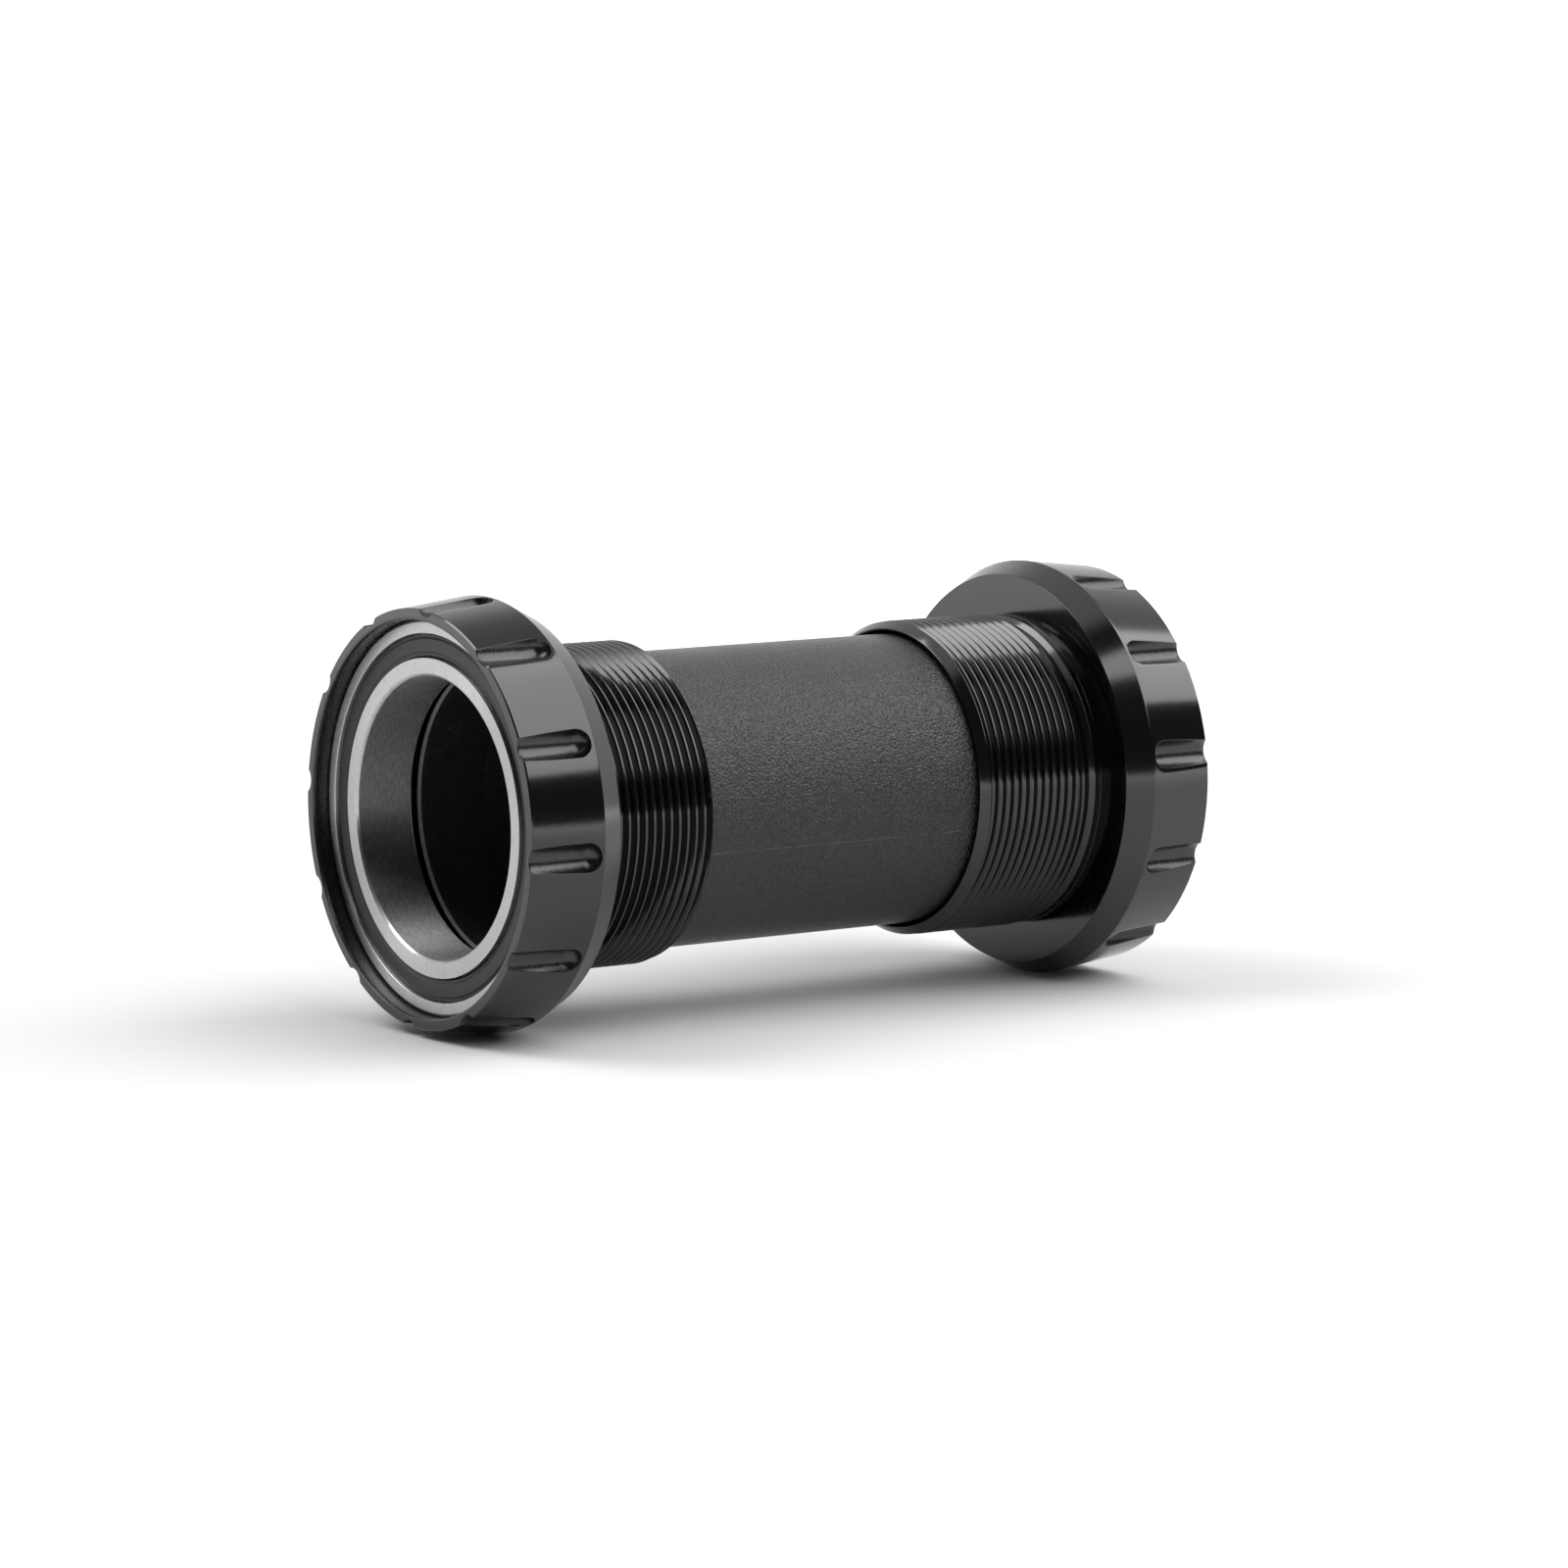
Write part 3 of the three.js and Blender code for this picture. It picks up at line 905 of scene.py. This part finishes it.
def sleeve_finish():
    """Black moulded plastic with a spark-eroded grain and hair-fine scratches, a rougher bore painted
    near-black as shade inside the tube, and painted highlights on the end lips.
    """
    finish = Finish("grained_plastic")
    finish.set("IOR", 1.5)
    grain = finish.noise(4300, detail=1.0)
    broad = finish.noise(130, detail=4.0)
    dust = finish.specks(spacing=0.0028, size=0.03, rarity=0.8)
    bore, lip, seam = sleeve_masks(finish)
    worn_patches = finish.maths("GREATER_THAN", finish.noise(180, detail=1.0), 0.6)
    hairlines = finish.between(finish.noise(420), 0.5, 0.5025)
    scratches = finish.maths("MULTIPLY", hairlines, worn_patches)
    base = finish.tint(finish.spread(grain, 0, 1), grey(0.001, 0.0001), grey(0.022, 0.0005))
    # Painted shade: the bore is made near-black, as shade inside the tube
    base = finish.overlaid(base, bore, 0.0005)
    # The lip's level 0.25 is a painted highlight on each end's inner edge; dust, scratches and the
    # seam are the plastic's own marks
    for mask, level in ((dust, 0.2), (scratches, 0.12), (seam, 0.09), (lip, 0.25)):
        base = finish.overlaid(base, mask, level)
    finish.drive("Base Color", base)
    finish.drive("Roughness", finish.added(finish.spread(broad, 0.27, 0.33), bore, 0.4))
    finish.bump(grain, strength=1.0, distance=0.0002)
    return finish.material


def ring_finish():
    """Soft black rubber."""
    finish = Finish("soft_black_rubber")
    grain = finish.noise(2500)
    finish.drive("Base Color", finish.tint(grain, grey(0.008), grey(0.016)))
    finish.drive("Roughness", finish.spread(grain, 0.35, 0.5))
    return finish.material


def cage_finish():
    """Brown-black cage plastic with a faint mottle of glass fibre."""
    finish = Finish("cage_plastic_finish")
    grain = finish.noise(3000, detail=3.0)
    finish.drive("Base Color", finish.tint(grain, (0.022, 0.018, 0.015), (0.05, 0.042, 0.036)))
    finish.drive("Roughness", finish.spread(grain, 0.4, 0.6))
    finish.bump(grain, strength=0.2, distance=0.00003)
    return finish.material


def ceramic_finish():
    """Polished dark ceramic."""
    finish = Finish("polished_ceramic")
    finish.set("IOR", 2.0)
    cloud = finish.noise(900, detail=3.0)
    finish.drive("Base Color", finish.tint(cloud, (0.018, 0.019, 0.021), (0.03, 0.031, 0.034)))
    finish.drive("Roughness", finish.spread(cloud, 0.05, 0.1))
    return finish.material


# ---------------------------------------------------------------- putting it together


def fit(piece, material, body, slot, *nodes):
    """Gives a piece its finish and its body, and hides the nodes it stands for. The slot is not used.
    """
    if not piece.data.materials:
        piece.data.materials.append(material)
    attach(piece, body)
    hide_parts(*nodes)


def build_object():
    anodised = anodised_finish()
    steel = steel_finish()
    rubber = seal_finish()
    soft_rubber = ring_finish()
    cage_plastic = cage_finish()
    ceramic = ceramic_finish()
    pattern = ball_mesh()
    for side in ENDS:
        cup_body = side + "_cup"
        ball_body = side + "_ball_set"
        fit(cup(side), anodised, cup_body, "cup_anodised", side + "_cup")
        fit(outer_ring(side), steel, cup_body, "bearing_steel", side + "_outer_ring")
        fit(inner_ring(side), steel, side + "_inner_ring", "bearing_steel", side + "_inner_ring")
        fit(seal(side, False), rubber, cup_body, "seal_rubber", side + "_outer_seal")
        fit(seal(side, True), rubber, cup_body, "seal_rubber", side + "_inner_seal")
        fit(cage(side), cage_plastic, ball_body, "cage_plastic", side + "_cage")
        fit(sleeve_ring(side), soft_rubber, "sleeve", "o_ring_rubber", side + "_o_ring")
        for index in range(BEARING["ball_count"]):
            node = f"{side}_ball_{index + 1:02d}"
            fit(ball(side, index, pattern.data), ceramic, ball_body, "ball_ceramic", node)
    bpy.data.objects.remove(pattern)
    fit(sleeve(), sleeve_finish(), "sleeve", "sleeve_plastic", "centre_sleeve")


# ---------------------------------------------------------------- camera, floor and light


# Azimuth 0 is -Y and 90 is +X
VIEW = {
    "azimuth": -35.32,
    "elevation": 7.09,
    "distance": 0.6844,
    "aim": Vector((0.0019, -0.0013, 0.0006)),
    "lens": 144.3,
    "sensor": 36,
    "nearest": 0.01,
}

FLOOR = {
    "radius": 6.0,
    "sides": 64,
    "grey": 0.72,
    "glow_start": 0.15,
    "glow_end": 0.7,
}

SOFTBOXES = {
    "key_softbox": {
        "azimuth": 42,
        "elevation": 50.5,
        "distance": 1.2,
        "width": 1.65,
        "height": 1.12,
        "radiance": 3.4,
    },
    "rim_softbox": {
        "azimuth": -130,
        "elevation": 53,
        "distance": 1.2,
        "width": 0.6,
        "height": 0.6,
        "radiance": 5.0,
    },
}

# How bright the room is: low to high as the view's share of a way rises from start to end
DARK = 0.05
BACK_WALL = {"way": (155, 0), "start": -0.1, "end": 0.25, "low": DARK, "high": 1.0}
RIGHT_CEILING = {"way": (90, 0), "start": -0.1, "end": 0.5, "low": 1.0, "high": 0.45}
FRONT_CUT = {"way": (180, 0), "start": -0.25, "end": 0.0, "low": 0.0, "high": 1.0}
CEILING_EDGE = {"way": (0, 90), "start": 0.5, "end": 0.8, "low": 0.0, "high": 1.0}


def direction(azimuth, elevation):
    """From the object towards a place round it."""
    a, e = math.radians(azimuth), math.radians(elevation)
    return Vector((math.sin(a) * math.cos(e), -math.cos(a) * math.cos(e), math.sin(e)))


def facing(name, data, out, centre, distance):
    """A camera or lamp in the direction out from a centre, and turned to face it."""
    thing = bpy.data.objects.new(name, data)
    thing.location = centre + out * distance
    thing.rotation_euler = (-out).to_track_quat("-Z", "Y").to_euler()
    bpy.context.scene.collection.objects.link(thing)
    return thing


def add_camera():
    data = bpy.data.cameras.new("camera")
    data.lens = VIEW["lens"]
    data.sensor_width = VIEW["sensor"]
    data.clip_start = VIEW["nearest"]
    back = direction(VIEW["azimuth"], VIEW["elevation"])
    bpy.context.scene.camera = facing("camera", data, back, VIEW["aim"], VIEW["distance"])


def add_softbox(name, azimuth, elevation, distance, width, height, radiance):
    """A large lamp facing the object. Its power follows from how bright its face looks."""
    lamp = bpy.data.lights.new(name, "AREA")
    lamp.shape = "RECTANGLE"
    lamp.size = width
    lamp.size_y = height
    lamp.energy = radiance * math.pi * width * height
    facing(name, lamp, direction(azimuth, elevation), Vector(), distance)


def soft_step(tree, value, start, end, low, high):
    """A value that runs smoothly from low to high as another runs from start to end."""
    step = tree.nodes.new("ShaderNodeMapRange")
    step.interpolation_type = "SMOOTHSTEP"
    step.inputs["From Min"].default_value = start
    step.inputs["From Max"].default_value = end
    step.inputs["To Min"].default_value = low
    step.inputs["To Max"].default_value = high
    tree.links.new(value, step.inputs["Value"])
    return step.outputs["Result"]


def floor_material():
    """Matt and pale, and glowing white far out, so that no horizon shows."""
    material = bpy.data.materials.new("pale_floor")
    material.use_nodes = True
    tree = material.node_tree
    shader = tree.nodes["Principled BSDF"]
    shader.inputs["Base Color"].default_value = (*grey(FLOOR["grey"]), 1)
    shader.inputs["Roughness"].default_value = 1.0
    shader.inputs["Specular IOR Level"].default_value = 0.0
    shader.inputs["Emission Color"].default_value = (*grey(1), 1)
    place = tree.nodes.new("ShaderNodeTexCoord")
    distance = tree.nodes.new("ShaderNodeVectorMath")
    distance.operation = "LENGTH"
    tree.links.new(place.outputs["Object"], distance.inputs[0])
    reach = distance.outputs["Value"]
    glow = soft_step(tree, reach, FLOOR["glow_start"], FLOOR["glow_end"], 0, 1)
    tree.links.new(glow, shader.inputs["Emission Strength"])
    return material


def add_floor():
    """A wide sheet that the cups' lowest edges rest on."""
    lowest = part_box("left_cup")[0].z
    sides = FLOOR["sides"]
    angles = np.arange(sides) * TURN / sides
    radius = FLOOR["radius"]
    points = [(radius * math.cos(a), radius * math.sin(a), lowest) for a in angles]
    mesh = bpy.data.meshes.new("floor")
    mesh.from_pydata(points, [], [tuple(range(sides))])
    mesh.materials.append(floor_material())
    floor = bpy.data.objects.new("floor", mesh)
    bpy.context.scene.collection.objects.link(floor)


def add_room():
    """A room that is white behind the object and dark on the camera's side, as in a studio."""
    world = bpy.data.worlds.new("studio")
    bpy.context.scene.world = world
    world.use_nodes = True
    tree = world.node_tree
    background = tree.nodes["Background"]
    background.inputs["Color"].default_value = (*grey(1), 1)
    view = tree.nodes.new("ShaderNodeTexCoord").outputs["Generated"]

    def along(way, start, end, low, high):
        """A soft step from low to high as the view turns towards a way."""
        share = tree.nodes.new("ShaderNodeVectorMath")
        share.operation = "DOT_PRODUCT"
        share.inputs[1].default_value = direction(*way)
        tree.links.new(view, share.inputs[0])
        return soft_step(tree, share.outputs["Value"], start, end, low, high)

    def mixed(share, first, second):
        """A blend of two strengths, each a number or a socket."""
        mix = tree.nodes.new("ShaderNodeMix")
        tree.links.new(share, mix.inputs["Factor"])
        for name, value in (("A", first), ("B", second)):
            if isinstance(value, float):
                mix.inputs[name].default_value = value
            else:
                tree.links.new(value, mix.inputs[name])
        return mix.outputs["Result"]

    ceiling = mixed(along(**FRONT_CUT), DARK, along(**RIGHT_CEILING))
    strength = mixed(along(**CEILING_EDGE), along(**BACK_WALL), ceiling)
    path = tree.nodes.new("ShaderNodeLightPath")
    strength = mixed(path.outputs["Is Camera Ray"], strength, 1.0)
    tree.links.new(strength, background.inputs["Strength"])


def add_lights():
    for name, box in SOFTBOXES.items():
        add_softbox(name, **box)


bpy.context.scene.view_settings.view_transform = "Standard"
add_camera()
build_object()
add_floor()
add_room()
add_lights()
